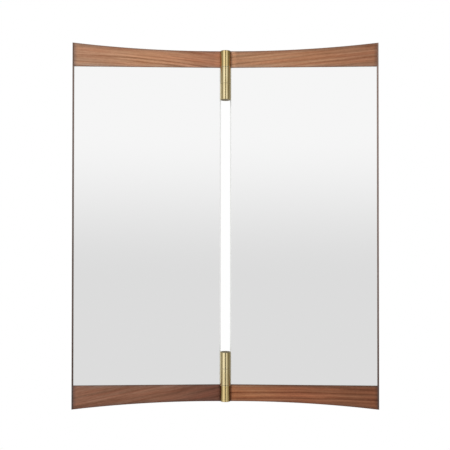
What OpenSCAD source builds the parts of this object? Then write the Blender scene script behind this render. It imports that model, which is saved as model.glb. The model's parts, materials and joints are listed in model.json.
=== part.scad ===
// Two-leaf folding wall mirror. Both leaves turn on one vertical axis in front of the wall.
// Frame: millimetres, +Z up, -Y towards the viewer, the wall is the plane y = 0.
// Origin: centre of the upper wall plate's rear face. The leaves are drawn at their rest swing.

/* [Leaves] */
// Height of the mirror at its outer corners
overall_h = 700; // [560:10:900]
// Distance from the hinge axis to a leaf's outer side
leaf_reach = 292.5; // [220:0.5:380]
// Height of a rail where it is thinnest
rail_h = 31.5; // [26:0.5:60]
// Radius of the hollow curve along the top and bottom edges
arc_r = 2395; // [1500:5:6000]
// Distance from the hinge axis to the lowest point of that curve
arc_vertex = 36.5; // [0:0.5:120]
// Width of the wooden lip down a leaf's outer side
lip_w = 3; // [2:0.5:12]
// Width of the stile behind a pane's inner edge
stile_w = 25; // [20:1:45]
// How far each leaf is swung forward of the flat position, in degrees
rest_swing = 2.5; // [0:0.5:30]

/* [Glass and backing] */
// Thickness of a mirror pane
pane_t = 4; // [3:0.5:8]
// Depth of a pane's front below the front of the rails
pane_recess = 1.5; // [1:0.5:5]
// Height of the step in a rail that takes the pane and the back panel
rebate = 6; // [4:0.5:10]
// Free height above a pane in the top rail's step
pane_play = 0.5; // [0.2:0.1:1.5]
// Distance from a leaf's inner side to the pane's edge
pane_setback = 0.3; // [0.1:0.1:1]
// Width of the polished bevel on a pane's inner front edge
bevel_w = 1.8; // [0.5:0.1:6]
// Depth of that bevel
bevel_d = 0.3; // [0.2:0.1:2]
// Thickness of the mounting tape behind a pane
tape_t = 1; // [0.5:0.1:2]
// Width of a strip of mounting tape
tape_w = 25; // [12:1:30]
// Number of tape strips behind a pane
tape_count = 4; // [2:1:6]
// Distance from the tape to the rails and to the pane's sides
tape_margin = 8; // [4:1:20]
// Thickness of the back panel and of the stile
back_t = 9; // [8:0.5:15]

/* [Hinges] */
// Outside diameter of the hinge barrels
barrel_d = 20.5; // [18:0.5:28]
// Height of one knuckle
knuckle_h = 31; // [24:0.1:45]
// Gap between two knuckles
seam = 0.4; // [0.3:0.1:1]
// Chamfer on a barrel's two ends
end_chamfer = 0.6; // [0.2:0.1:1.5]
// Chamfer on the knuckles beside a seam
seam_chamfer = 0.15; // [0.05:0.05:0.5]
// How far a barrel covers a leaf's inner side, seen from the front
edge_cover = 1.65; // [1:0.05:2.5]
// Gap between a barrel and the nearest corner of a rail
corner_gap = 0.6; // [0.4:0.1:2]
// Distance from a barrel's outer end to the outer edge of the rails
barrel_inset = 1.7; // [0:0.1:5]
// Diameter of the hinge pin
pin_d = 8; // [6:0.5:10]
// Radial clearance of the leaf knuckles on the pin
pin_clearance = 0.05; // [0.01:0.01:0.1]
// Diameter of the head at each end of the pin
head_d = 14; // [12:0.5:15]
// Thickness of those heads
head_h = 3; // [2:0.5:5]
// Clearance around and under the heads, and their depth below the barrel's ends
head_clearance = 0.2; // [0.1:0.05:0.5]
// Thickness of a thrust washer
washer_t = 0.3; // [0.1:0.05:0.3]
// Distance from a thrust washer's rim to the barrel's surface
washer_inset = 1.25; // [0.75:0.25:3]
// Thickness of the plates that carry the leaf knuckles
flag_t = 2; // [1.5:0.1:2.2]
// Width of metal left behind the screw heads in such a plate
flag_edge = 0.2; // [0.1:0.1:0.8]
// How far such a plate stops short of its knuckle's free end
flag_trim = 3; // [0:0.5:6]

/* [Wall brackets] */
// Width of a wall plate
plate_w = 80; // [78:1:160]
// Height of a wall plate
plate_h = 36; // [30:1:80]
// Thickness of a wall plate
plate_t = 4; // [3.5:0.5:8]
// Corner radius of a wall plate
plate_corner_r = 4; // [1:0.5:8]
// Gap between a wall plate and the corner of a swinging leaf
plate_clear = 2.8; // [1:0.1:10]
// Distance between the two wall screws of a plate
wall_hole_pitch = 60; // [40:1:64]
// Diameter of a wall screw hole
wall_hole_d = 5; // [4:0.5:6]
// Diameter of the countersink of a wall screw hole
wall_head_d = 9.4; // [8:0.1:11]
// Width of the arm between a wall plate and the barrel
arm_w = 9; // [7:0.5:12]
// Height of that arm
arm_h = 24; // [20:1:28]

/* [Fasteners] */
// Diameter of the screws that fix the knuckles to the leaves
flag_screw_d = 3.5; // [2.5:0.5:4]
// Diameter of the heads of those screws
flag_head_d = 6.6; // [5:0.1:7.5]
// Length of those screws
flag_screw_len = 18; // [12:1:20]
// Distance between the two screws of a knuckle
flag_screw_pitch = 15; // [12:1:20]
// Diameter of the screws that fix an arm to its wall plate
arm_screw_d = 4; // [3:0.5:4]
// Diameter of the heads of those screws
arm_head_d = 7.8; // [7:0.1:8.5]
// Length of those screws
arm_screw_len = 16; // [10:1:18]
// Distance between the two screws of an arm
arm_screw_pitch = 13; // [11:1:14]
// Diameter of the screw at the foot of a hinge pin
pin_screw_d = 4; // [3:0.5:5]
// Length of that screw under its head
pin_screw_len = 12; // [6:1:20]
// Width and depth of the driver slots
slot_w = 1.1; // [0.6:0.1:1.5]
// Diameter of a dowel
dowel_d = 6; // [4:0.5:6.5]
// Length of a dowel
dowel_len = 30; // [20:1:34]
// Number of dowels in each joint
dowel_count = 3; // [2:1:5]
// Distance from a joint's ends to the axis of the nearest dowel
dowel_inset = 28; // [22:1:50]

/* [Bumpers] */
// Diameter of a wall bumper
bumper_d = 14; // [8:0.5:18]
// Gap between a bumper and the wall when the leaf is flat
bumper_gap = 0.4; // [0:0.1:2]
// Diameter of a bumper's peg
peg_d = 4; // [3:0.5:6]
// Length of that peg
peg_len = 6; // [4:0.5:8]
// Distance from a leaf's outer side to a bumper's rim
bumper_inset = 14; // [6:1:60]

/* [Hidden] */

LEFT = -1;
RIGHT = 1;
UPPER = 1;
LOWER = -1;
EPS = 0.01;
// How far a cut runs past the piece it is made in.
OVERCUT = 1;
$fn = 64;
arc_fn = 720;
barrel_fn = 96;
peg_fn = 32;

walnut = [0.56, 0.36, 0.25];
walnut_dark = [0.44, 0.27, 0.19];
brass = [0.76, 0.66, 0.42];
steel = [0.72, 0.73, 0.74];
plywood = [0.80, 0.68, 0.50];
mirror_tint = [0.88, 0.90, 0.91];
tape_white = [0.90, 0.90, 0.87];
beech = [0.85, 0.72, 0.55];
rubber = [0.16, 0.16, 0.16];

// Leaf coordinates: u runs outwards from the hinge axis, v from that axis towards the wall,
// and z from the mirror's middle height.
barrel_r = barrel_d / 2;
leaf_inner = barrel_r - edge_cover;
lip_inner = leaf_reach - lip_w;
rail_front = sqrt(pow(barrel_r + corner_gap, 2) - pow(leaf_inner, 2));
pane_front = rail_front + pane_recess;
pane_back = pane_front + pane_t;
back_front = pane_back + tape_t;
leaf_back = back_front + back_t;
back_mid = leaf_back - back_t / 2;
flag_reach = back_mid + flag_head_d / 2 + flag_edge;

// The hollow edge of the rails: its height above the lowest point, at a distance u from the axis.
function arc_rise(u) = arc_r - sqrt(pow(arc_r, 2) - pow(u - arc_vertex, 2));
pane_h = overall_h - 2 * (rail_h + arc_rise(leaf_reach));
rail_edge = pane_h / 2;
rebate_edge = rail_edge + rebate;

barrel_h = 3 * knuckle_h + 2 * seam;
knuckle_step = knuckle_h + seam;
hinge_mid = rail_edge + rail_h + arc_rise(leaf_inner) - barrel_inset - barrel_h / 2;
// Half of the free height between the two barrels.
between_barrels = hinge_mid - barrel_h / 2;

// The rear inner corner of a leaf sweeps this radius past the wall plates.
leaf_swing_r = norm([leaf_inner, leaf_back]);
axis_out = leaf_swing_r + plate_clear + plate_t;

panel_inner = leaf_inner + stile_w;
pane_inner = leaf_inner + pane_setback;
dowel_depth = dowel_len / 2;
bumper_u = leaf_reach - bumper_inset - bumper_d / 2;
bumper_z = rebate_edge + (rail_h - rebate + arc_rise(bumper_u)) / 2;

// Height of a countersunk head of diameter d over a shank of diameter s, at 90 degrees.
function csk_h(d, s) = (d - s) / 2;

// Which knuckle of a hinge a leaf holds: 1 is the top one and -1 the bottom one.
function slot_of(side, hinge) = -side * hinge;

// Axis distance of dowel i in a row that runs from a to b.
function dowel_at(i, a, b) = a + dowel_inset + i * (b - a - 2 * dowel_inset) / (dowel_count - 1);

// ---- placing ----

// Puts a right-hand leaf's piece on the leaf of the given side, at the rest swing.
module on_leaf(side) {
    translate([0, -axis_out, -hinge_mid])
        rotate([0, 0, -side * rest_swing])
            mirror([side == LEFT ? 1 : 0, 0, 0])
                children();
}

// Puts a piece drawn round a hinge's centre on the axis of that hinge.
module on_hinge(hinge) {
    translate([0, -axis_out, (hinge - 1) * hinge_mid])
        children();
}

// Turns a piece drawn for the upper half of a leaf into the one for the given end.
module at_end(hinge) {
    mirror([0, 0, hinge == LOWER ? 1 : 0])
        children();
}

// ---- shared shapes ----

// A slab from u0 to u1, v0 to v1 and z0 to z1.
module slab(u0, u1, v0, v1, z0, z1) {
    translate([u0, v0, z0])
        cube([u1 - u0, v1 - v0, z1 - z0]);
}

// A strip of the leaf's outline in the upper half, below the hollow edge.
module below_arc(u0, u1, v0, v1, z0) {
    translate([0, v1, 0])
        rotate([90, 0, 0])
            linear_extrude(height = v1 - v0)
                difference() {
                    translate([u0, z0])
                        square([u1 - u0, overall_h / 2 + EPS - z0]);
                    translate([arc_vertex, rail_edge + rail_h + arc_r])
                        circle(r = arc_r, $fn = arc_fn);
                }
}

// A countersunk screw along +X: its head's top is at x = 0.
module csk_screw(d, head, len) {
    h = csk_h(head, d);
    rotate([0, 90, 0])
        difference() {
            union() {
                cylinder(h = h, d1 = head, d2 = d);
                cylinder(h = len, d = d);
            }
            translate([-slot_w / 2, -head / 2, -EPS])
                cube([slot_w, head, slot_w + EPS]);
        }
}

// The hole for such a screw.
module csk_hole(d, head, len) {
    h = csk_h(head, d);
    rotate([0, 90, 0]) {
        cylinder(h = h, d1 = head, d2 = d);
        translate([0, 0, -EPS])
            cylinder(h = len + EPS, d = d);
    }
}

// Both flag screws of one knuckle, or their holes, on a leaf.
module flag_screw_places(side, hinge) {
    z_mid = hinge * hinge_mid + slot_of(side, hinge) * (knuckle_step - flag_trim / 2);
    for (dz = [-1, 1])
        translate([leaf_inner - flag_t, back_mid, z_mid + dz * flag_screw_pitch / 2])
            children();
}

module flag_screw_holes(side) {
    for (hinge = [UPPER, LOWER])
        flag_screw_places(side, hinge)
            csk_hole(flag_screw_d, flag_head_d, flag_screw_len);
}

// Dowels between a rail and the back panel, at the upper end of a leaf.
module rail_dowels() {
    for (i = [0 : dowel_count - 1])
        translate([dowel_at(i, panel_inner, lip_inner), back_mid, rebate_edge - dowel_depth])
            cylinder(h = dowel_len, d = dowel_d, $fn = peg_fn);
}

// Dowels between the stile and the back panel, clear of the flag screws beside the barrels.
module stile_dowels() {
    for (i = [0 : dowel_count - 1])
        translate([panel_inner - dowel_depth, back_mid, dowel_at(i, -between_barrels, between_barrels)])
            rotate([0, 90, 0])
                cylinder(h = dowel_len, d = dowel_d, $fn = peg_fn);
}

// One knuckle round the axis, with the larger chamfer on a free end.
module knuckle_body(slot) {
    top = slot == 1 ? end_chamfer : seam_chamfer;
    bottom = slot == -1 ? end_chamfer : seam_chamfer;
    rotate_extrude($fn = barrel_fn)
        polygon([
            [0, -knuckle_h / 2],
            [barrel_r - bottom, -knuckle_h / 2],
            [barrel_r, -knuckle_h / 2 + bottom],
            [barrel_r, knuckle_h / 2 - top],
            [barrel_r - top, knuckle_h / 2],
            [0, knuckle_h / 2]
        ]);
}

// ---- the leaves ----

module rail(side, hinge) {
    color(hinge == UPPER ? walnut : walnut_dark)
        on_leaf(side)
            difference() {
                at_end(hinge)
                    difference() {
                        below_arc(leaf_inner, lip_inner, rail_front, leaf_back, rail_edge);
                        slab(leaf_inner - OVERCUT, lip_inner + OVERCUT, pane_front, leaf_back + OVERCUT,
                             rail_edge - OVERCUT, rebate_edge);
                        rail_dowels();
                        bumper_pegs();
                    }
                flag_screw_holes(side);
            }
}

module outer_lip(side) {
    color(walnut_dark)
        on_leaf(side)
            for (hinge = [UPPER, LOWER])
                at_end(hinge)
                    below_arc(lip_inner, leaf_reach, rail_front, leaf_back, -EPS);
}

module inner_stile(side) {
    color(walnut_dark)
        on_leaf(side)
            difference() {
                slab(leaf_inner, panel_inner, back_front, leaf_back, -rebate_edge, rebate_edge);
                stile_dowels();
                flag_screw_holes(side);
            }
}

module back_panel(side) {
    color(plywood)
        on_leaf(side)
            difference() {
                slab(panel_inner, lip_inner, back_front, leaf_back, -rebate_edge, rebate_edge);
                stile_dowels();
                for (hinge = [UPPER, LOWER])
                    at_end(hinge)
                        rail_dowels();
            }
}

// The pane stands on the bottom rail's step. Its inner front edge is bevelled.
module mirror_pane(side) {
    color(mirror_tint)
        on_leaf(side)
            translate([0, 0, -rebate_edge])
                linear_extrude(height = 2 * rebate_edge - pane_play)
                    polygon([
                        [pane_inner, pane_back],
                        [pane_inner, pane_front + bevel_d],
                        [pane_inner + bevel_w, pane_front],
                        [lip_inner, pane_front],
                        [lip_inner, pane_back]
                    ]);
}

module pane_tape(side) {
    first = pane_inner + tape_margin;
    step = (lip_inner - pane_inner - 2 * tape_margin - tape_w) / (tape_count - 1);
    color(tape_white)
        on_leaf(side)
            for (i = [0 : tape_count - 1])
                slab(first + i * step, first + i * step + tape_w, pane_back, back_front,
                     tape_margin - rail_edge, rail_edge - tape_margin);
}

module dowels(side) {
    color(beech)
        on_leaf(side) {
            stile_dowels();
            for (hinge = [UPPER, LOWER])
                at_end(hinge)
                    rail_dowels();
        }
}

// The bumper's peg, drawn at the upper end of a leaf.
module bumper_pegs() {
    translate([bumper_u, leaf_back - peg_len, bumper_z])
        rotate([-90, 0, 0])
            cylinder(h = peg_len + EPS, d = peg_d, $fn = peg_fn);
}

module wall_bumpers(side) {
    color(rubber)
        on_leaf(side)
            for (hinge = [UPPER, LOWER])
                at_end(hinge) {
                    bumper_pegs();
                    translate([bumper_u, leaf_back, bumper_z])
                        rotate([-90, 0, 0])
                            cylinder(h = axis_out - leaf_back - bumper_gap, d = bumper_d);
                }
}

// A leaf knuckle: a barrel segment with a plate that runs back along the leaf's inner side.
module leaf_knuckle(side, hinge) {
    slot = slot_of(side, hinge);
    color(brass)
        on_leaf(side)
            difference() {
                translate([0, 0, hinge * hinge_mid + slot * knuckle_step])
                    difference() {
                        union() {
                            knuckle_body(slot);
                            mirror([0, 0, slot == 1 ? 0 : 1])
                                slab(leaf_inner - flag_t, leaf_inner, 0, flag_reach,
                                     -knuckle_h / 2, knuckle_h / 2 - flag_trim);
                        }
                        cylinder(h = knuckle_h + 2 * OVERCUT, d = pin_d + 2 * pin_clearance, center = true);
                        mirror([0, 0, slot == 1 ? 0 : 1])
                            translate([0, 0, knuckle_h / 2 - head_h - 2 * head_clearance])
                                cylinder(h = head_h + 2 * head_clearance + OVERCUT,
                                         d = head_d + 2 * head_clearance);
                    }
                flag_screw_holes(side);
            }
}

module flag_screws(side, hinge) {
    color(steel)
        on_leaf(side)
            flag_screw_places(side, hinge)
                csk_screw(flag_screw_d, flag_head_d, flag_screw_len);
}

// ---- the hinges and their wall brackets ----

module hinge_pin(hinge) {
    head_top = barrel_h / 2 - head_clearance;
    foot = -barrel_h / 2 + head_clearance + head_h;
    color(steel)
        on_hinge(hinge)
            difference() {
                union() {
                    translate([0, 0, foot])
                        cylinder(h = head_top - foot, d = pin_d);
                    translate([0, 0, head_top - head_h])
                        cylinder(h = head_h, d = head_d);
                }
                translate([-head_d / 2, -slot_w / 2, head_top - slot_w])
                    cube([head_d, slot_w, slot_w + EPS]);
                translate([0, 0, foot - EPS])
                    cylinder(h = pin_screw_len + EPS, d = pin_screw_d);
            }
}

// The slotted screw in the foot of the pin. It keeps the bottom knuckle on.
module pin_screw(hinge) {
    head_bottom = -barrel_h / 2 + head_clearance;
    color(steel)
        on_hinge(hinge)
            translate([0, 0, head_bottom])
                difference() {
                    union() {
                        cylinder(h = head_h, d = head_d);
                        cylinder(h = head_h + pin_screw_len, d = pin_screw_d);
                    }
                    translate([-head_d / 2, -slot_w / 2, -EPS])
                        cube([head_d, slot_w, slot_w + EPS]);
                }
}

// A washer in the middle of each seam, on the pin.
module thrust_washers(hinge) {
    color(steel)
        on_hinge(hinge)
            for (end = [-1, 1])
                translate([0, 0, end * knuckle_step / 2])
                    difference() {
                        cylinder(h = washer_t, d = barrel_d - 2 * washer_inset, center = true);
                        cylinder(h = washer_t + 2 * OVERCUT, d = pin_d + 2 * pin_clearance, center = true);
                    }
}

// The middle knuckle and the arm that carries it, tapped for two screws from behind.
module bracket_arm(hinge) {
    color(brass)
        on_hinge(hinge)
            difference() {
                union() {
                    knuckle_body(0);
                    translate([-arm_w / 2, 0, -arm_h / 2])
                        cube([arm_w, axis_out - plate_t, arm_h]);
                }
                cylinder(h = knuckle_h + 2 * OVERCUT, d = pin_d, center = true);
                arm_screw_places()
                    csk_hole(arm_screw_d, arm_head_d, arm_screw_len);
            }
}

// Both arm screws of a bracket, or their holes, driven from the wall side.
module arm_screw_places() {
    for (dz = [-1, 1])
        translate([0, axis_out, dz * arm_screw_pitch / 2])
            rotate([0, 0, -90])
                children();
}

module arm_screws(hinge) {
    color(steel)
        on_hinge(hinge)
            arm_screw_places()
                csk_screw(arm_screw_d, arm_head_d, arm_screw_len);
}

module wall_plate(hinge) {
    r = plate_corner_r;
    color(brass)
        on_hinge(hinge)
            difference() {
                translate([0, axis_out, 0])
                    rotate([90, 0, 0])
                        linear_extrude(height = plate_t) {
                            square([plate_w - 2 * r, plate_h], center = true);
                            square([plate_w, plate_h - 2 * r], center = true);
                            for (x = [-1, 1], y = [-1, 1])
                                translate([x * (plate_w / 2 - r), y * (plate_h / 2 - r)])
                                    circle(r = r);
                        }
                for (x = [-1, 1])
                    translate([x * wall_hole_pitch / 2, axis_out - plate_t, 0])
                        rotate([0, 0, 90])
                            csk_hole(wall_hole_d, wall_head_d, plate_t + OVERCUT);
                arm_screw_places()
                    csk_hole(arm_screw_d, arm_head_d, arm_screw_len);
            }
}

wall_plate(UPPER);  // upper_wall_plate
bracket_arm(UPPER);  // upper_bracket_arm
arm_screws(UPPER);  // upper_arm_screws
hinge_pin(UPPER);  // upper_hinge_pin
pin_screw(UPPER);  // upper_pin_screw
thrust_washers(UPPER);  // upper_thrust_washers
wall_plate(LOWER);  // lower_wall_plate
bracket_arm(LOWER);  // lower_bracket_arm
arm_screws(LOWER);  // lower_arm_screws
hinge_pin(LOWER);  // lower_hinge_pin
pin_screw(LOWER);  // lower_pin_screw
thrust_washers(LOWER);  // lower_thrust_washers

rail(LEFT, UPPER);  // left_top_rail
rail(LEFT, LOWER);  // left_bottom_rail
outer_lip(LEFT);  // left_outer_lip
inner_stile(LEFT);  // left_inner_stile
back_panel(LEFT);  // left_back_panel
mirror_pane(LEFT);  // left_mirror_pane
pane_tape(LEFT);  // left_pane_tape
dowels(LEFT);  // left_dowels
leaf_knuckle(LEFT, UPPER);  // left_upper_knuckle
leaf_knuckle(LEFT, LOWER);  // left_lower_knuckle
flag_screws(LEFT, UPPER);  // left_upper_flag_screws
flag_screws(LEFT, LOWER);  // left_lower_flag_screws
wall_bumpers(LEFT);  // left_wall_bumpers

rail(RIGHT, UPPER);  // right_top_rail
rail(RIGHT, LOWER);  // right_bottom_rail
outer_lip(RIGHT);  // right_outer_lip
inner_stile(RIGHT);  // right_inner_stile
back_panel(RIGHT);  // right_back_panel
mirror_pane(RIGHT);  // right_mirror_pane
pane_tape(RIGHT);  // right_pane_tape
dowels(RIGHT);  // right_dowels
leaf_knuckle(RIGHT, UPPER);  // right_upper_knuckle
leaf_knuckle(RIGHT, LOWER);  // right_lower_knuckle
flag_screws(RIGHT, UPPER);  // right_upper_flag_screws
flag_screws(RIGHT, LOWER);  // right_lower_flag_screws
wall_bumpers(RIGHT);  // right_wall_bumpers
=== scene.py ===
"""Looks of the two-leaf folding wall mirror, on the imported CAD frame.

Blender units are metres, +Z up and -Y towards the viewer. Materials work in leaf coordinates in
millimetres, as the part's source does: u runs outwards from the hinge axis, v from that axis
towards the wall, and z from the mirror's middle height.
"""

import json
import math

import bpy
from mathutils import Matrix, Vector

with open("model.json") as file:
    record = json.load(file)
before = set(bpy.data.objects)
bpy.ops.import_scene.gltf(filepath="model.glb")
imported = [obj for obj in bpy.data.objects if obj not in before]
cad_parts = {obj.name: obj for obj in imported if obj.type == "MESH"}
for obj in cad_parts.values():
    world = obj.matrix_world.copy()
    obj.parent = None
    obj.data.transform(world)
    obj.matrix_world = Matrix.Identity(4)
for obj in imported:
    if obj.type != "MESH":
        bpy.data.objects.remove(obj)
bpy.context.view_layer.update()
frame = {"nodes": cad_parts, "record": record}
nodes = frame["nodes"]
joints = {j["name"]: j for j in frame["record"]["behaviour"]["joints"]}
scene = bpy.context.scene

SIDES = ("left", "right")
HINGES = ("upper", "lower")
MM = 1000.0

RIGHT = Vector((1, 0, 0))
BACK = Vector((0, 1, 0))
UP = Vector((0, 0, 1))

# ---- sizes of the part, in millimetres, by the names and formulas of its source ----

OVERALL_H = 700.0
LEAF_REACH = 292.5
LIP_W = 3.0
RAIL_H = 31.5
ARC_R = 2395.0
ARC_VERTEX = 36.5
PANE_RECESS = 1.5
PANE_T = 4.0
TAPE_T = 1.0
BACK_T = 9.0
BARREL_R = 10.25
EDGE_COVER = 1.65
CORNER_GAP = 0.6
KNUCKLE_H = 31.0
SEAM = 0.4

# How far the rails' curve rises from its vertex to the leaf's outer side.
RISE = ARC_R - math.sqrt(ARC_R ** 2 - (LEAF_REACH - ARC_VERTEX) ** 2)
# Heights above the mirror's middle of the curve's vertex and of the top rail's edge at the glass.
VERTEX_Z = OVERALL_H / 2 - RISE
RAIL_EDGE = VERTEX_Z - RAIL_H
LEAF_FRONT = math.sqrt((BARREL_R + CORNER_GAP) ** 2 - (BARREL_R - EDGE_COVER) ** 2)
LEAF_BACK = LEAF_FRONT + PANE_RECESS + PANE_T + TAPE_T + BACK_T
HALF_BARREL = (3 * KNUCKLE_H + 2 * SEAM) / 2

hinge_axis = Vector(joints["left_leaf_swing"]["pos_m"])
rest_swing = -math.radians(joints["left_leaf_swing"]["range_deg"][0])
# The joint's place is at the mirror's middle height, the frame's origin at the upper barrel's.
barrel_middle = -hinge_axis.z * MM


def leaf_axes(side):
    """The directions of u and v on a leaf at rest."""
    out = -1 if side == "left" else 1
    u = Vector((out * math.cos(rest_swing), -math.sin(rest_swing), 0))
    v = Vector((out * math.sin(rest_swing), math.cos(rest_swing), 0))
    return u, v


def srgb(r, g, b):
    """A colour as it shows on screen, 0 to 255, as the linear colour that a node takes."""
    def linear(c):
        c /= 255
        return c / 12.92 if c <= 0.04045 else ((c + 0.055) / 1.055) ** 2.4
    return linear(r), linear(g), linear(b), 1.0


def grey(level):
    return level, level, level, 1.0


WHITE = grey(1.0)

# ---- camera ----

# In millimetres.
SENSOR_W = 36
CAMERA_LENS = 58.40
# From the middle of the hinge axis, in metres.
CAMERA_OFFSET = Vector((-0.0008, -1.3976, -0.0157))
CAMERA_PITCH = math.radians(90.692)
CAMERA_ROLL = math.radians(-0.037)


def add_camera():
    data = bpy.data.cameras.new("camera")
    data.sensor_width = SENSOR_W
    data.lens = CAMERA_LENS
    camera = bpy.data.objects.new("camera", data)
    camera.location = hinge_axis + CAMERA_OFFSET
    camera.rotation_euler = (CAMERA_PITCH, CAMERA_ROLL, 0)
    scene.collection.objects.link(camera)
    scene.camera = camera


# ---- node graphs ----

# Noise runs from 0 to 1, but nearly all of it lies in this part.
NOISE_SPAN = (0.3, 0.7)


class Graph:
    """A node tree written as calls. A call adds a node and returns its output socket."""

    def __init__(self, tree):
        self.tree = tree
        tree.nodes.clear()

    def add(self, kind, inputs=(), output=0, **settings):
        node = self.tree.nodes.new(kind)
        for name, value in settings.items():
            setattr(node, name, value)
        for key, value in dict(inputs).items():
            if isinstance(value, bpy.types.NodeSocket):
                self.tree.links.new(value, node.inputs[key])
            else:
                node.inputs[key].default_value = value
        return node.outputs[output]

    def math(self, operation, *values):
        return self.add("ShaderNodeMath", dict(enumerate(values)), operation=operation)

    def sum(self, first, *rest):
        for value in rest:
            first = self.math("ADD", first, value)
        return first

    def minus(self, first, second):
        return self.math("SUBTRACT", first, second)

    def product(self, first, *rest):
        for value in rest:
            first = self.math("MULTIPLY", first, value)
        return first

    def absolute(self, value):
        return self.math("ABSOLUTE", value)

    def between(self, value, low, high):
        """A number from 0..1, carried to low..high."""
        return self.math("MULTIPLY_ADD", value, high - low, low)

    def ranged(self, value, low, high, to_low=0.0, to_high=1.0, smooth=True):
        """Value, carried from low..high to to_low..to_high and held outside it."""
        kind = "SMOOTHSTEP" if smooth else "LINEAR"
        return self.add("ShaderNodeMapRange", {0: value, 1: low, 2: high, 3: to_low, 4: to_high},
                        interpolation_type=kind)

    def vector(self, x, y, z):
        return self.add("ShaderNodeCombineXYZ", {0: x, 1: y, 2: z})

    def noise(self, vector, detail=2.0):
        return self.add("ShaderNodeTexNoise", {"Vector": vector, "Scale": 1.0, "Detail": detail})

    def patches(self, places, sizes, detail=2.0):
        """Noise over three places, in patches of the given size along each."""
        shares = (self.product(place, 1 / size) for place, size in zip(places, sizes))
        return self.noise(self.vector(*shares), detail)

    def mix(self, factor, a, b):
        return self.add("ShaderNodeMix", {0: factor, 6: a, 7: b}, output=2, data_type="RGBA",
                        blend_type="MIX")

    def tinted(self, colour, tint):
        """Colour, multiplied by the colour tint."""
        return self.add("ShaderNodeMix", {0: 1.0, 6: colour, 7: tint}, output=2,
                        data_type="RGBA", blend_type="MULTIPLY")

    def toned(self, colour, tone):
        """Colour, with each channel multiplied by the number tone."""
        return self.tinted(colour, self.vector(tone, tone, tone))

    def ramp(self, value, stops, smooth=False):
        """A colour ramp over 0..1, from pairs of place and colour."""
        output = self.add("ShaderNodeValToRGB", {0: value})
        ramp = output.node.color_ramp
        ramp.interpolation = "EASE" if smooth else "LINEAR"
        while len(ramp.elements) < len(stops):
            ramp.elements.new(0.5)
        for element, (place, colour) in zip(ramp.elements, stops):
            element.position = place
            element.color = colour
        return output

    def bump(self, height, depth, strength=1.0):
        """A normal from a height, of which 1 stands for the depth in millimetres."""
        return self.add("ShaderNodeBump",
                        {"Height": height, "Distance": depth / MM, "Strength": strength})

    def place(self):
        """The rest place of the shaded point, in metres, which moves with its body."""
        return self.add("ShaderNodeTexCoord", output=3)

    def magnified(self, factor):
        """The rest place, times the factor."""
        return self.add("ShaderNodeVectorMath", {0: self.place(), "Scale": factor},
                        operation="SCALE")

    def along(self, direction):
        """How far the shaded point lies from the hinge axis' middle along direction, in mm."""
        dot = self.add("ShaderNodeVectorMath", {0: self.place(), 1: direction}, output=1,
                       operation="DOT_PRODUCT")
        return self.math("MULTIPLY_ADD", dot, MM, -MM * direction.dot(hinge_axis))

    def surface(self, inputs):
        shader = self.add("ShaderNodeBsdfPrincipled", inputs)
        self.add_output("ShaderNodeOutputMaterial", shader)

    def add_output(self, kind, shader):
        node = self.tree.nodes.new(kind)
        self.tree.links.new(shader, node.inputs["Surface"])


def new_material(name):
    material = bpy.data.materials.new(name)
    material.use_nodes = True
    return material, Graph(material.node_tree)


def leaf_place(g, side):
    """The sockets u, v and z of the shaded point on a leaf, in millimetres."""
    u, v = leaf_axes(side)
    return g.along(u), g.along(v), g.along(UP)


# ---- wood ----

# The layers of the figure, as noise: the length and width in mm of their usual streak, and how
# many finer octaves they have.
BROAD = dict(length=170, width=6.0, detail=1)
MEDIUM = dict(length=60, width=2.2, detail=2)
NARROW = dict(length=25, width=0.8, detail=3)
FLECK = dict(length=6, width=1.7, detail=1)
PORE = dict(length=3.2, width=0.24, detail=1)
RING_BAND = dict(length=260, width=11, detail=0)
HUE = dict(length=90, width=5.0, detail=2)
# A streak runs this many times as far into the board's depth as it is wide on its face.
STREAK_DEPTH = 2.5
# How far, at most, the four layers of streaks move the tone up and down.
BROAD_SWING = 0.35
MEDIUM_SWING = 0.32
NARROW_SWING = 0.15
FLECK_SWING = 0.17
# The noise from which a pore and a band of rings begin to show, and from which they fully do.
PORE_SHOWS = (0.60, 0.72)
RINGS_SHOW = (0.40, 0.62)
# Where in a ring, from 0 to 1, the dark late wood starts, is darkest and ends, and how late wood
# is that leaves the tone as it is.
LATE_WOOD = (0.30, 0.92, 1.0)
NEUTRAL_LATE = 0.42
# The rings shift by one pitch over this depth in mm, and waver by up to this share of a pitch.
RING_DEPTH = 40
RING_WAVER = 0.5
# Sizes in mm, along the grain, across it and into the depth, of the parts that stray together.
STRAY_SIZES = (120, 60, 60)
# The fading ends of a single grain line in mm, the sizes of its fainter and stronger parts, and
# the shares of its tone between which they lie.
LINE_FADE = 30
LINE_PARTS = (55, 1, 20)
LINE_LEAST = 0.2
LINE_MOST = 1.8
# How strongly red, green and blue follow the tone of the figure: pale streaks are less saturated.
TONE_BY_CHANNEL = (0.85, 1.08, 1.30)
RED_STREAK = (1.05, 0.95, 0.90, 1.0)
OLIVE_STREAK = (0.96, 1.03, 1.05, 1.0)
# A pore's depth in mm, and how high narrow streaks and late wood stand, as shares of it.
WOOD_RELIEF = 0.06
NARROW_RELIEF = 0.35
LATE_RELIEF = 0.3
# The roughness follows the narrow streaks.
OILED = (0.40, 0.62)


def grain(g, along, across, depth, length, width, detail):
    """Noise drawn out along the grain."""
    return g.patches((along, across, depth), (length, width, STREAK_DEPTH * width), detail)


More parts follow.
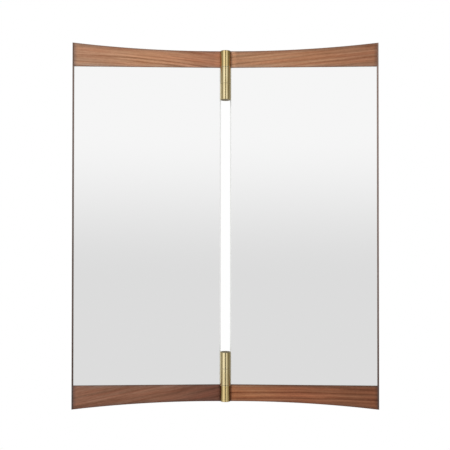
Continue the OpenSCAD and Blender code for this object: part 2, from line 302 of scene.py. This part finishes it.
def grain_lines(g, along, across, depth, lines):
    """The tone that single grain lines add. A line is its place and half width across the grain,
    its tone (below 0 is dark), and where it starts and stops along the grain. It fades at both
    ends and comes and goes on its way."""
    total = 0.0
    half_fade = LINE_FADE / 2
    for place, half_width, tone, start, stop in lines:
        near = g.ranged(g.absolute(g.minus(across, place)), half_width, 0.0)
        within = g.product(g.ranged(along, start - half_fade, start + half_fade),
                           g.ranged(along, stop + half_fade, stop - half_fade))
        strength = g.between(g.patches((along, place, depth), LINE_PARTS),
                             LINE_LEAST * tone, LINE_MOST * tone)
        total = g.sum(g.product(near, within, strength), total)
    return total


def wood_surface(g, along, across, depth, colour, pores=0.22, contrast=1.0, rings=0.20, pitch=4.2,
                 warp=7.0, lines=()):
    """Rings, streaks, pores, roughness and relief of a sawn board with its grain along the first
    place. The rings show more in some bands of the board than in others. The grain strays from
    its straight run by up to the warp."""
    stray = g.patches((along, across, depth), STRAY_SIZES, detail=1)
    across = g.sum(across, g.between(stray, -warp, warp))
    where = (along, across, depth)

    broad = grain(g, *where, **BROAD)
    medium = grain(g, *where, **MEDIUM)
    narrow = grain(g, *where, **NARROW)
    fleck = grain(g, *where, **FLECK)
    pore = g.ranged(grain(g, *where, **PORE), *PORE_SHOWS)
    band = g.ranged(grain(g, *where, **RING_BAND), *RINGS_SHOW)
    ring = g.math("FRACT", g.sum(g.product(across, 1 / pitch), g.product(depth, 1 / RING_DEPTH),
                                 g.product(medium, RING_WAVER)))
    late_start, latest, late_end = LATE_WOOD
    late = g.product(g.ranged(ring, late_start, latest), g.ranged(ring, late_end, latest))

    swings = ((broad, BROAD_SWING), (medium, MEDIUM_SWING), (narrow, NARROW_SWING),
              (fleck, FLECK_SWING))
    tone = g.sum(1.0, *(g.between(streak, -swing * contrast, swing * contrast)
                        for streak, swing in swings),
                 g.product(g.minus(NEUTRAL_LATE, late), band, rings),
                 grain_lines(g, *where, lines))
    tone = g.product(tone, g.between(pore, 1.0, 1.0 - pores))
    tones = g.vector(*(g.between(tone, 1.0 - follow, 1.0) for follow in TONE_BY_CHANNEL))
    hue = g.ranged(grain(g, *where, **HUE), *NOISE_SPAN, 0.5 - 0.5 * contrast,
                   0.5 + 0.5 * contrast, smooth=False)
    colour = g.tinted(g.tinted(colour, tones), g.mix(hue, RED_STREAK, OLIVE_STREAK))

    relief = g.sum(g.product(pore, -1.0), g.product(narrow, NARROW_RELIEF),
                   g.product(late, LATE_RELIEF))
    g.surface({
        "Base Color": colour,
        "Roughness": g.between(narrow, *OILED),
        "Specular IOR Level": 0.25,
        "Normal": g.bump(relief, WOOD_RELIEF, strength=0.7),
    })


# What the wood's colour is multiplied by along the rails' outer edges and beside the glass, and
# on the arrises there.
CURVE_AND_LIP_TINT = (0.65, 0.71, 0.83, 1.0)
GLASS_SIDE_TINT = (0.93, 1.08, 1.28, 1.0)
CURVE_ARRIS_TONE = 0.80
GLASS_ARRIS_TONE = 0.68
# From where to where these fade, in mm from the edge.
CURVE_AND_LIP_STRIP = (0.5, 6.5)
GLASS_SIDE_STRIP = (1.0, 7.0)
ARRIS_STRIP = (0.4, 2.0)
# From where to where the strip of painted light, which cancels the barrel's shade, and the strip
# of painted shadow right beside the barrel fade, in mm from the barrel's side, and both of them in
# mm behind the leaf's front.
PAINTED_LIGHT_STRIP = (0.0, 14.0)
SHADED_STRIP = (0.8, 2.4)
FRONT_STRIP = (1.0, 6.0)


def rail_colour(g, u, v, z, tints, painted_light, shade, glass_side):
    """Tint from the outer end over the middle to the inner end: darker and greyer along the curve
    and the lip, greyer beside the glass and dark on the arrises. At the front it is painted paler
    near the barrel, painted light that cancels the barrel's shade, and painted shadow darkens it
    right beside the barrel."""
    outer, middle, inner = (srgb(*t) for t in tints)
    colour = g.ramp(g.ranged(u, 0, LEAF_REACH, smooth=False),
                    [(0.05, inner), (0.5, middle), (0.95, outer)], smooth=True)
    # Painted light near the barrel cancels its shade on the wood, and painted shadow darkens the
    # wood right beside it.
    from_barrel = g.minus(u, BARREL_R)
    by_barrel = g.product(g.ranged(from_barrel, *PAINTED_LIGHT_STRIP, painted_light, 1.0),
                          g.ranged(from_barrel, *SHADED_STRIP, shade, 1.0))
    colour = g.toned(colour, g.ranged(g.minus(v, LEAF_FRONT), *FRONT_STRIP, by_barrel, 1.0))

    height = g.absolute(z)
    from_vertex = g.minus(u, ARC_VERTEX)
    curve = g.math("MULTIPLY_ADD", g.product(from_vertex, from_vertex), 0.5 / ARC_R, VERTEX_Z)
    to_curve = g.minus(curve, height)
    to_glass = g.minus(height, RAIL_EDGE)
    to_lip = g.minus(LEAF_REACH - LIP_W, u)
    # Darker and greyer in a band along the curve and the lip.
    by_edge = g.ranged(g.math("MINIMUM", to_curve, to_lip), *CURVE_AND_LIP_STRIP, smooth=False)
    colour = g.tinted(colour, g.mix(by_edge, CURVE_AND_LIP_TINT, WHITE))
    # Greyer beside the glass.
    colour = g.tinted(colour, g.mix(g.ranged(to_glass, *GLASS_SIDE_STRIP), glass_side, WHITE))
    arris = g.product(g.ranged(to_curve, *ARRIS_STRIP, CURVE_ARRIS_TONE, 1.0),
                      g.ranged(to_glass, *ARRIS_STRIP, GLASS_ARRIS_TONE, 1.0))
    return g.toned(colour, arris)


def walnut_rail(side, end, tints, slope, bend, seed, painted_light, shade, glass_side=GLASS_SIDE_TINT, **figure):
    """Walnut whose grain follows z = slope * u + bend * u squared across the rail's face. The seed
    is how far into the log the board lies, in millimetres."""
    material, g = new_material(f"walnut_{side}_{end}")
    u, v, z = leaf_place(g, side)
    run = g.sum(g.product(u, slope), g.product(g.product(u, u), bend))
    wood_surface(g, u, g.minus(z, run), g.sum(v, seed),
                 rail_colour(g, u, v, z, tints, painted_light, shade, glass_side), **figure)
    return material


# From where to where an upright's tint changes: beside the top rail, in mm above its edge at the
# glass, and in mm behind the leaf's front.
TOP_RAIL_STRIP = (-0.5, 1.5)
BEHIND_STRIP = (0.1, 1.2)


def walnut_upright(side, name, tints, behind=None, by_top_rail=None, **figure):
    """Walnut with upright grain, tinted from the bottom over the middle to the top. Behind the
    front it may have a tint of its own, and beside the top rail a deeper one."""
    material, g = new_material(f"walnut_{side}_{name}")
    u, v, z = leaf_place(g, side)
    bottom, middle, top = (srgb(*t) for t in tints)
    colour = g.ramp(g.ranged(z, -VERTEX_Z, VERTEX_Z, smooth=False),
                    [(0.0, bottom), (0.5, middle), (1.0, top)])
    if by_top_rail:
        beside = g.ranged(g.minus(z, RAIL_EDGE), *TOP_RAIL_STRIP)
        colour = g.tinted(colour, g.mix(beside, WHITE, by_top_rail))
    if behind:
        colour = g.mix(g.ranged(g.minus(v, LEAF_FRONT), *BEHIND_STRIP), colour, srgb(*behind))
    wood_surface(g, z, u, v, colour, **figure)
    return material


PLY_T = 1.5
PALE_PLY = srgb(214, 186, 148)
DARK_PLY = srgb(186, 150, 110)
FACE_VENEER = srgb(216, 190, 152)
# From where to where the plies give way to the face veneer, in mm from the leaf's back.
VENEER_STRIP = (0.6, 0.3)


def plywood(side):
    """Birch face veneer of the back panel, with its darker plies on the edges."""
    material, g = new_material(f"plywood_{side}")
    u, v, z = leaf_place(g, side)
    ply = g.math("PINGPONG", g.minus(v, LEAF_BACK - BACK_T), PLY_T)
    plies = g.ramp(g.product(ply, 1 / PLY_T), [(0.42, PALE_PLY), (0.55, DARK_PLY)])
    face = g.ranged(g.minus(LEAF_BACK, v), *VENEER_STRIP)
    colour = g.mix(face, plies, FACE_VENEER)
    wood_surface(g, z, u, v, colour, pores=0.06, contrast=0.35, rings=0.06, pitch=9.0)
    return material


def beech(side):
    material, g = new_material(f"beech_{side}")
    u, v, z = leaf_place(g, side)
    wood_surface(g, u, z, v, srgb(212, 176, 136), pores=0.12, contrast=0.4, rings=0.05)
    return material


# ---- glass and foam ----

SILVER = (0.93, 0.93, 0.93, 1.0)
SILVER_RIM = (0.90, 0.91, 0.905, 1.0)
RIM_W = 2.5
# Sizes in mm of the marks on the ground bevel and edge, the first of them along the edge, and of
# those that the paint roller leaves.
BEVEL_MARKS = (9, 0.4, 0.4)
EDGE_MARKS = (14, 0.25, 3)
ROLLER_MARKS = (0.8, 0.8, 1)
# The foam's cells in mm, and between which shares of a cell from its middle the colour changes.
FOAM_CELL = 0.9
CELL_SPAN = (0.1, 0.7)
# Depths in mm.
EDGE_RELIEF = 0.03
PAINT_RELIEF = 0.04
FOAM_RELIEF = 0.15


def silver_front(side):
    """The silvered front of a pane, a little darker and greener in the last millimetres."""
    material, g = new_material(f"mirror_front_{side}")
    u, v, z = leaf_place(g, side)
    to_side = g.minus(LEAF_REACH - LIP_W, u)
    to_end = g.minus(RAIL_EDGE, g.absolute(z))
    inside = g.ranged(g.math("MINIMUM", to_side, to_end), 0.0, RIM_W)
    g.surface({
        "Base Color": g.mix(inside, SILVER_RIM, SILVER),
        "Metallic": 1.0,
        "Roughness": 0.0,
    })
    return material


def glass_bevel(side):
    """The flat bevel beside the centre gap, ground so finely that it only shines at a low angle."""
    material, g = new_material(f"mirror_bevel_{side}")
    u, v, z = leaf_place(g, side)
    marks = g.patches((z, u, v), BEVEL_MARKS)
    g.surface({
        "Base Color": g.mix(g.ranged(marks, *NOISE_SPAN), srgb(240, 241, 239),
                            srgb(247, 248, 246)),
        "Roughness": g.between(marks, 0.20, 0.40),
        "Specular IOR Level": 0.3,
    })
    return material


def glass_edge(side):
    """The ground edge of the pane: grey-green, with faint grinding lines."""
    material, g = new_material(f"mirror_edge_{side}")
    u, v, z = leaf_place(g, side)
    marks = g.patches((z, v, u), EDGE_MARKS)
    g.surface({
        "Base Color": g.mix(g.ranged(marks, *NOISE_SPAN), srgb(148, 168, 158),
                            srgb(176, 194, 184)),
        "Roughness": g.between(marks, 0.18, 0.38),
        "Specular IOR Level": 0.6,
        "Normal": g.bump(marks, EDGE_RELIEF),
    })
    return material


def backing_paint(side):
    material, g = new_material(f"mirror_paint_{side}")
    u, v, z = leaf_place(g, side)
    roll = g.patches((u, z, 0.0), ROLLER_MARKS, detail=3)
    g.surface({
        "Base Color": g.mix(roll, srgb(92, 90, 86), srgb(108, 105, 100)),
        "Roughness": g.between(roll, 0.50, 0.65),
        "Normal": g.bump(roll, PAINT_RELIEF),
    })
    return material


def foam_tape():
    material, g = new_material("foam_tape_white")
    cell = g.add("ShaderNodeTexVoronoi", {"Vector": g.magnified(MM / FOAM_CELL), "Scale": 1.0})
    g.surface({
        "Base Color": g.mix(g.ranged(cell, *CELL_SPAN), srgb(205, 204, 198), srgb(232, 231, 226)),
        "Roughness": 0.85,
        "Normal": g.bump(cell, FOAM_RELIEF),
    })
    return material


# ---- metal and rubber ----

# Sizes in mm, to the right, backwards and upwards, of the turning lines and the uneven tone.
TURNING_LINES = (9, 9, 0.12)
METAL_CLOUDS = (14, 14, 22)
CLOUD_SPAN = (0.35, 0.70)
# How far they carry the colour towards the dark one, and the roughness that they add.
LINE_TONE = 0.175
CLOUD_TONE = 0.5
LINE_ROUGHNESS = 0.04
CLOUD_ROUGHNESS = 0.03
# The rubber's grain and the depths of both reliefs, in mm.
RUBBER_GRAIN = 0.5
METAL_RELIEF = 0.005
RUBBER_RELIEF = 0.08

# What the brass is multiplied by between the lower and between the upper rails: a painted
# reflection of the brown wood beside it.
LOWER_RAIL_TINT = (0.95, 0.89, 0.74, 1.0)
UPPER_RAIL_TINT = (0.97, 0.91, 0.78, 1.0)
# The painted shade on the barrels' flanks between the rails, a dark brown that stands for the
# shaded wood they reflect and the dark gap beside them: how far out it starts at the lower and at
# the upper hinge, how much further out it is full, and how strong it is. Places across the barrel
# are shares of its radius, here and below.
FLANK_SHADE_COLOUR = (0.15, 0.068, 0.008, 1.0)
RIGHT_FLANK_SHADE = dict(lower_start=0.57, upper_start=0.70, width=0.24, strength=1.0)
LEFT_FLANK_SHADE = dict(lower_start=0.56, upper_start=0.76, width=0.34, strength=0.88)
# From where to where painted shade darkens the right flanks clear of the rails, and the left flank
# of the upper middle knuckle, and what each is multiplied by.
RIGHT_FLANK = (0.76, 0.98)
RIGHT_FLANK_TINT = (0.44, 0.40, 0.24, 1.0)
LEFT_FLANK = (0.72, 0.87)
LEFT_FLANK_TONE = 0.68
# The tone of the painted shade at a barrel's ends, and from where to where it fades, in mm from the
# end.
END_TONE = 0.46
END_STRIP = (0.2, 0.9)


def flank_shade_share(g, outwards, upper, lower_start, upper_start, width, strength):
    """How strong the painted shade on a flank is at a place that lies that share of the radius
    outwards.
    """
    past_start = g.minus(outwards, g.ranged(upper, 0.0, 1.0, lower_start, upper_start))
    return g.product(g.ranged(past_start, 0.0, width), strength)


def barrel_tint(g, side, up, colour):
    """Brass, deeper between the rails by a painted reflection of the wood, darkened on its ends by
    painted shade, and darkened on its flanks against the rails by painted shade that stands for the
    shaded wood they reflect, more so at the right and at the lower hinge. Painted shade also
    darkens its flanks clear of the rails."""
    to_right = g.product(side, 1 / BARREL_R)
    to_left = g.product(side, -1 / BARREL_R)
    height = g.absolute(up)
    upper = g.ranged(up, -1.0, 1.0)
    at_rail = g.ranged(g.minus(height, RAIL_EDGE), -1.0, 1.0)
    from_middle = g.absolute(g.minus(height, barrel_middle))

    # Painted reflection of the wood between the rails.
    beside_rails = g.tinted(colour, g.mix(upper, LOWER_RAIL_TINT, UPPER_RAIL_TINT))
    # Painted shade on the flanks beside the rails.
    shaded_flanks = g.sum(flank_shade_share(g, to_right, upper, **RIGHT_FLANK_SHADE),
                      flank_shade_share(g, to_left, upper, **LEFT_FLANK_SHADE))
    beside_rails = g.mix(shaded_flanks, beside_rails, FLANK_SHADE_COLOUR)

    # Painted shade on the flanks clear of the rails.
    clear = g.tinted(colour, g.mix(g.ranged(to_right, *RIGHT_FLANK), WHITE, RIGHT_FLANK_TINT))
    left_flank = g.product(g.ranged(from_middle, KNUCKLE_H / 2 + SEAM, KNUCKLE_H / 2), upper,
                           g.ranged(to_left, *LEFT_FLANK))
    clear = g.toned(clear, g.between(left_flank, 1.0, LEFT_FLANK_TONE))

    # Painted shade at the barrel's ends.
    to_end = g.minus(HALF_BARREL, from_middle)
    return g.toned(g.mix(at_rail, clear, beside_rails),
                   g.ranged(to_end, *END_STRIP, END_TONE, 1.0))


def turned_metal(name, colour, dark, rough, barrel=False):
    """Metal with fine lines round the vertical axis and a faint uneven tone."""
    material, g = new_material(name)
    side, depth, up = g.along(RIGHT), g.along(BACK), g.along(UP)
    lines = g.patches((side, depth, up), TURNING_LINES, detail=3)
    cloud = g.patches((side, depth, up), METAL_CLOUDS, detail=1)
    tone = g.sum(g.product(g.ranged(cloud, *CLOUD_SPAN), CLOUD_TONE), g.product(lines, LINE_TONE))
    colour = g.mix(tone, colour, dark)
    if barrel:
        colour = barrel_tint(g, side, up, colour)
    g.surface({
        "Base Color": colour,
        "Metallic": 1.0,
        "Roughness": g.sum(rough, g.product(lines, LINE_ROUGHNESS),
                           g.product(cloud, CLOUD_ROUGHNESS)),
        "Normal": g.bump(lines, METAL_RELIEF),
    })
    return material


def rubber():
    material, g = new_material("bumper_rubber_black")
    speckle = g.noise(g.magnified(MM / RUBBER_GRAIN), detail=3)
    g.surface({
        "Base Color": g.mix(speckle, srgb(38, 38, 38), srgb(62, 61, 60)),
        "Roughness": g.between(speckle, 0.55, 0.75),
        "Normal": g.bump(speckle, RUBBER_RELIEF),
    })
    return material


# ---- dressing the CAD nodes ----

# The rails' strongest grain lines. Places are heights in mm at the hinge axis.
TOP_LEFT_LINES = (
    (294.6, 2.4, -0.40, 75, 180), (298.1, 2.2, 0.36, 40, 210), (301.4, 2.0, -0.24, 30, 190),
    (300.4, 2.0, -0.12, 190, 255), (304.2, 2.4, 0.22, 20, 235), (307.6, 2.0, -0.10, 60, 280),
    (310.9, 2.4, 0.08, 0, 280), (324.5, 4.0, -0.18, 0, 70), (316.0, 5.0, -0.16, 265, 300),
)
TOP_RIGHT_LINES = (
    (290.5, 2.8, 0.12, 150, 300), (294.0, 2.2, -0.18, 100, 300), (298.0, 2.8, 0.18, 60, 300),
    (302.5, 2.4, -0.15, 40, 300), (306.7, 2.4, 0.20, 0, 300), (310.3, 2.2, -0.12, 0, 300),
    (313.5, 2.2, 0.12, 0, 300), (316.2, 2.0, -0.12, 0, 300), (319.0, 2.2, 0.10, 0, 200),
    (322.4, 2.2, -0.10, 0, 150), (326.5, 3.2, 0.10, 0, 120), (315.0, 6.0, -0.36, 265, 300),
)
BOTTOM_LEFT_LINES = (
    (-289.0, 6.5, 0.24, 60, 200), (-300.5, 4.5, -0.20, 70, 185), (-306.5, 3.0, 0.06, 40, 160),
    (-314.0, 3.0, 0.08, 0, 130), (-318.0, 2.5, 0.08, 0, 80), (-324.0, 4.0, -0.14, 0, 110),
    (-282.5, 3.5, -0.09, 120, 300),
)
BOTTOM_RIGHT_LINES = (
    (-320.3, 2.0, -0.46, 0, 300), (-331.2, 2.8, -0.38, 0, 190), (-329.9, 3.8, -0.44, 190, 300),
    (-325.6, 3.0, 0.24, 0, 190), (-324.0, 2.4, 0.22, 190, 300), (-335.0, 2.8, 0.24, 60, 190),
    (-333.2, 2.4, 0.20, 190, 300), (-337.5, 2.0, -0.16, 200, 300), (-316.5, 2.4, 0.16, 0, 150),
    (-308.6, 2.8, -0.24, 130, 240), (-311.8, 3.4, -0.34, 225, 285), (-314.5, 2.4, 0.10, 150, 220),
)
# Each rail's tints on screen from its outer end over its middle to its inner end, the run of its
# grain, and how its figure differs from the usual one. The lower rails' darker tints are partly
# the walnut's own colour and partly painted shade, for light that falls off downwards.
# Each rail also sets how strong the painted light and the painted shadow beside the barrel are.
RAIL_LOOKS = {
    ("left", "top"): dict(tints=((181, 135, 106), (187, 134, 100), (175, 121, 91)),
                          slope=0.145, bend=-0.00016, seed=0, painted_light=1.40, shade=0.92, warp=2.0,
                          lines=TOP_LEFT_LINES),
    ("right", "top"): dict(tints=((162, 112, 83), (172, 121, 88), (178, 131, 98)),
                           slope=0.10, bend=0.0, seed=310, painted_light=1.80, shade=0.58, warp=2.0,
                           lines=TOP_RIGHT_LINES),
    ("left", "bottom"): dict(tints=((143, 99, 77), (133, 90, 68), (114, 71, 54)),
                             slope=-0.20, bend=0.0, seed=620, painted_light=1.20, shade=0.72,
                             contrast=1.35, rings=0.10, pitch=8.0, warp=4.0,
                             lines=BOTTOM_LEFT_LINES),
    ("right", "bottom"): dict(tints=((132, 82, 55), (146, 91, 62), (162, 105, 70)),
                              slope=0.026, bend=-0.00011, seed=930, painted_light=1.45, shade=0.55,
                              glass_side=(0.74, 0.93, 1.18, 1.0), warp=2.0,
                              lines=BOTTOM_RIGHT_LINES),
}
# Tints on screen from the bottom over the middle to the top. The fronts are darker and greyer
# than the wood behind, the left lip more than the right and both towards the bottom: partly the
# walnut's own tone and partly painted shade, as on side faces turned from the light.
LIP_LOOKS = {
    "left": ((76, 62, 57), (106, 94, 88), (124, 105, 97)),
    "right": ((82, 64, 58), (134, 116, 110), (148, 126, 117)),
}
STILE_LOOK = ((118, 84, 65), (122, 88, 68), (126, 92, 71))
# A lip's tint on screen behind its front, and what its front is multiplied by beside the top rail.
LIP_BEHIND = (136, 95, 72)
LIP_BY_TOP_RAIL = (0.85, 0.72, 0.62, 1.0)

# Cosines of the angles up to which a pane's face counts as its front or back, and as its bevel.
FLAT = 0.99
SLANTED = 0.5


def dress(name, material):
    nodes[name].data.materials[0] = material


def dress_pane(side):
    """Gives each face of a pane its own finish, by the way it looks on the leaf."""
    mesh = nodes[f"{side}_mirror_pane"].data
    _, towards_wall = leaf_axes(side)
    mesh.materials[0] = silver_front(side)
    for material in (glass_bevel(side), glass_edge(side), backing_paint(side)):
        mesh.materials.append(material)
    front, bevel, edge, rear = range(4)
    for face in mesh.polygons:
        facing = face.normal.dot(towards_wall)
        if facing < -FLAT:
            face.material_index = front
        elif facing < -SLANTED:
            face.material_index = bevel
        elif facing > FLAT:
            face.material_index = rear
        else:
            face.material_index = edge


def dress_leaf(side):
    for end in ("top", "bottom"):
        dress(f"{side}_{end}_rail", walnut_rail(side, end, **RAIL_LOOKS[side, end]))
    dress(f"{side}_outer_lip", walnut_upright(side, "lip", LIP_LOOKS[side], LIP_BEHIND,
                                              LIP_BY_TOP_RAIL, pores=0.08, contrast=0.6,
                                              rings=0.10))
    dress(f"{side}_inner_stile", walnut_upright(side, "stile", STILE_LOOK))
    dress(f"{side}_back_panel", plywood(side))
    dress(f"{side}_dowels", beech(side))
    dress(f"{side}_pane_tape", tape)
    dress(f"{side}_wall_bumpers", bumper)
    for hinge in HINGES:
        dress(f"{side}_{hinge}_knuckle", barrel)
        dress(f"{side}_{hinge}_flag_screws", screw)
    dress_pane(side)


def dress_hinge(hinge):
    dress(f"{hinge}_bracket_arm", barrel)
    dress(f"{hinge}_wall_plate", plate)
    dress(f"{hinge}_hinge_pin", pin)
    dress(f"{hinge}_pin_screw", pin)
    dress(f"{hinge}_arm_screws", screw)
    dress(f"{hinge}_thrust_washers", screw)


# ---- studio, in metres ----

FLOOR_DROP = 1.0
FLOOR_R = 2.6
FLOOR_STEPS = 96
FLOOR_TONE = 0.80
# From where to where on its radius the floor turns white, and how white it is up to there.
FLOOR_FADE = (0.9, 1.7)
FLOOR_WHITE = 0.55


def add_floor():
    """A pale round floor under the mirror. Towards its rim it runs into the white background, and
    from below it is seen through."""
    level = hinge_axis.z - FLOOR_DROP
    turns = (2 * math.pi * i / FLOOR_STEPS for i in range(FLOOR_STEPS))
    ring = [(FLOOR_R * math.cos(turn), FLOOR_R * math.sin(turn), level) for turn in turns]
    mesh = bpy.data.meshes.new("floor")
    mesh.from_pydata(ring, [], [list(range(FLOOR_STEPS))])
    floor = bpy.data.objects.new("floor", mesh)
    scene.collection.objects.link(floor)

    material, g = new_material("floor_pale")
    x, y, _ = g.add("ShaderNodeSeparateXYZ", {0: g.place()}).node.outputs
    radius = g.math("SQRT", g.sum(g.product(x, x), g.product(y, y)))
    pale = g.add("ShaderNodeBsdfDiffuse", {"Color": grey(FLOOR_TONE)})
    white = g.add("ShaderNodeEmission", {"Color": WHITE})
    ray = g.add("ShaderNodeLightPath").node.outputs
    seen = g.math("MAXIMUM", ray["Is Camera Ray"], ray["Is Transmission Ray"])
    fade = g.product(seen, g.ranged(radius, *FLOOR_FADE, FLOOR_WHITE, 1.0))
    above = g.add("ShaderNodeMixShader", {0: fade, 1: pale, 2: white})
    below = g.add("ShaderNodeBsdfTransparent")
    from_below = g.add("ShaderNodeNewGeometry").node.outputs["Backfacing"]
    g.add_output("ShaderNodeOutputMaterial",
                 g.add("ShaderNodeMixShader", {0: from_below, 1: above, 2: below}))
    mesh.materials.append(material)


# The soft boxes that polished metal sees. Each rises from nothing to its level across its outer
# and its inner edge, given in degrees of azimuth from the viewer's side towards +X. Level 0 is the
# dim warm room, which glows a little except on the viewer's side.
LEFT_BOX = dict(outer=(-72, -28), inner=(-8, -15), level=1.0)
RIGHT_BOX = dict(outer=(60, 24), inner=(6.5, 16.5), level=0.81)
ROOM_GLOW = 0.10
UNLIT_SIDE = dict(outer=(-75, -55), inner=(138, 112), level=-ROOM_GLOW)
SOFT_BOX = (1.24, 1.24, 1.27, 1.0)
DIM_ROOM = (0.22, 0.195, 0.14, 1.0)
# Low down, the left box stands wider, the right one is dimmer and the gap between them darker, by
# these shares.
LOW_LEFT_WIDER = 0.12
LOW_RIGHT_DIMMER = 0.12
LOW_GAP_DARKER = 0.60
# The upward parts of a direction between which it comes to be low down, and the azimuths in
# radians between which it comes to be on the right side and, either way, in the gap.
LOW_DOWN = (0.15, -0.15)
RIGHT_SIDE = (0.0, 0.1)
BOX_GAP = (0.28, 0.10)
# Tone of what metal sees, by height: 0 is straight down, 0.5 level and 1 straight up.
METAL_BY_HEIGHT = [(0.0, grey(0.45)), (0.35, grey(0.92)), (0.5, WHITE), (0.65, WHITE),
                   (1.0, grey(0.50))]

# What the mirrors see: a studio that gets paler between two elevations in degrees, and is dimmer
# to the sides. Azimuths in degrees are where that starts and where the dim tone is full.
MIRROR_ELEVATIONS = (-3.6, 8.1)
MIRROR_TONES = (0.770, 0.990)
MIRROR_LEFT = dict(start=-40, full=-70, tone=0.55)
MIRROR_RIGHT = dict(start=30, full=60, tone=0.36)
# The plain level that matt surfaces see.
MATT_SEES = 0.66


def soft_box(g, azimuth, outer, inner, level):
    """The level that a soft box adds at an azimuth in radians."""
    edges = [g.ranged(azimuth, math.radians(nothing), math.radians(full))
             for nothing, full in (outer, inner)]
    return g.product(*edges, level)


def dim_side(g, azimuth, start, full, tone):
    """The tone to one side, at an azimuth in radians."""
    return g.ranged(azimuth, math.radians(start), math.radians(full), 1.0, tone)


def seen_by_metal(g, azimuth, rise):
    """Two soft boxes in a dim warm room, by azimuth and by the upward part of a direction."""
    low = g.ranged(rise, *LOW_DOWN)
    wider = g.product(g.math("MINIMUM", azimuth, 0.0), low, -LOW_LEFT_WIDER)
    place = g.sum(azimuth, wider)
    level = g.sum(ROOM_GLOW, *(soft_box(g, place, **box)
                               for box in (LEFT_BOX, RIGHT_BOX, UNLIT_SIDE)))
    low_right = g.product(g.ranged(azimuth, *RIGHT_SIDE), low)
    level = g.product(level, g.between(low_right, 1.0, 1.0 - LOW_RIGHT_DIMMER))
    colour = g.mix(level, DIM_ROOM, SOFT_BOX)
    low_gap = g.product(g.ranged(g.absolute(azimuth), *BOX_GAP), low)
    colour = g.toned(colour, g.between(low_gap, 1.0, 1.0 - LOW_GAP_DARKER))
    return g.tinted(colour, g.ramp(g.ranged(rise, -1.0, 1.0, smooth=False), METAL_BY_HEIGHT))


def seen_by_mirror(g, azimuth, rise):
    """A pale studio that is a little darker low down and to the sides."""
    lowest, highest = (math.sin(math.radians(elevation)) for elevation in MIRROR_ELEVATIONS)
    dark, pale = (grey(tone) for tone in MIRROR_TONES)
    colour = g.ramp(g.ranged(rise, lowest, highest, smooth=False), [(0.0, dark), (1.0, pale)],
                    smooth=True)
    return g.toned(colour, g.product(dim_side(g, azimuth, **MIRROR_LEFT),
                                     dim_side(g, azimuth, **MIRROR_RIGHT)))


def add_world():
    """White behind the object, a plain level on matt surfaces, soft boxes for metal and a pale
    studio for the perfect mirror."""
    world = bpy.data.worlds.new("studio")
    world.use_nodes = True
    world.cycles.sampling_method = "NONE"
    scene.world = world
    g = Graph(world.node_tree)
    way = g.add("ShaderNodeTexCoord", output=0)
    x, y, rise = g.add("ShaderNodeSeparateXYZ", {0: way}).node.outputs
    azimuth = g.math("ARCTAN2", x, g.product(y, -1.0))

    ray = g.add("ShaderNodeLightPath").node.outputs
    colour = g.mix(ray["Is Glossy Ray"], grey(MATT_SEES), seen_by_metal(g, azimuth, rise))
    colour = g.mix(ray["Is Singular Ray"], colour, seen_by_mirror(g, azimuth, rise))
    straight = g.math("MAXIMUM", ray["Is Camera Ray"], ray["Is Transmission Ray"])
    colour = g.mix(straight, colour, WHITE)
    g.add_output("ShaderNodeOutputWorld", g.add("ShaderNodeBackground", {"Color": colour}))


def add_soft_light(name, place, size, power):
    """A square light, aimed at the mirror's middle, that shows neither directly nor in metal."""
    data = bpy.data.lights.new(name, "AREA")
    data.size = size
    data.energy = power
    light = bpy.data.objects.new(name, data)
    light.location = place
    light.rotation_euler = (Vector(place) - hinge_axis).to_track_quat("Z", "Y").to_euler()
    light.visible_camera = False
    light.visible_glossy = False
    scene.collection.objects.link(light)


# ---- the whole scene ----

scene.view_settings.view_transform = "Standard"
add_camera()
add_world()
add_soft_light("key_light", place=(-1.6, -2.2, 1.3), size=1.6, power=24)
add_soft_light("fill_light", place=(1.9, -2.0, 0.2), size=2.0, power=8)
add_soft_light("rear_light", place=(0.6, 2.4, 1.0), size=2.0, power=14)
add_floor()

tape = foam_tape()
bumper = rubber()
barrel = turned_metal("brass_barrel", colour=(0.83, 0.71, 0.42, 1), dark=(0.70, 0.57, 0.29, 1),
                      rough=0.145, barrel=True)
plate = turned_metal("brass_plate", colour=(0.76, 0.64, 0.38, 1), dark=(0.60, 0.48, 0.26, 1),
                     rough=0.285)
pin = turned_metal("bronzed_pin", colour=(0.50, 0.44, 0.30, 1), dark=(0.36, 0.31, 0.20, 1),
                   rough=0.265)
screw = turned_metal("zinc_screws", colour=(0.72, 0.71, 0.68, 1), dark=(0.52, 0.52, 0.50, 1),
                     rough=0.285)

for side in SIDES:
    dress_leaf(side)
for hinge in HINGES:
    dress_hinge(hinge)
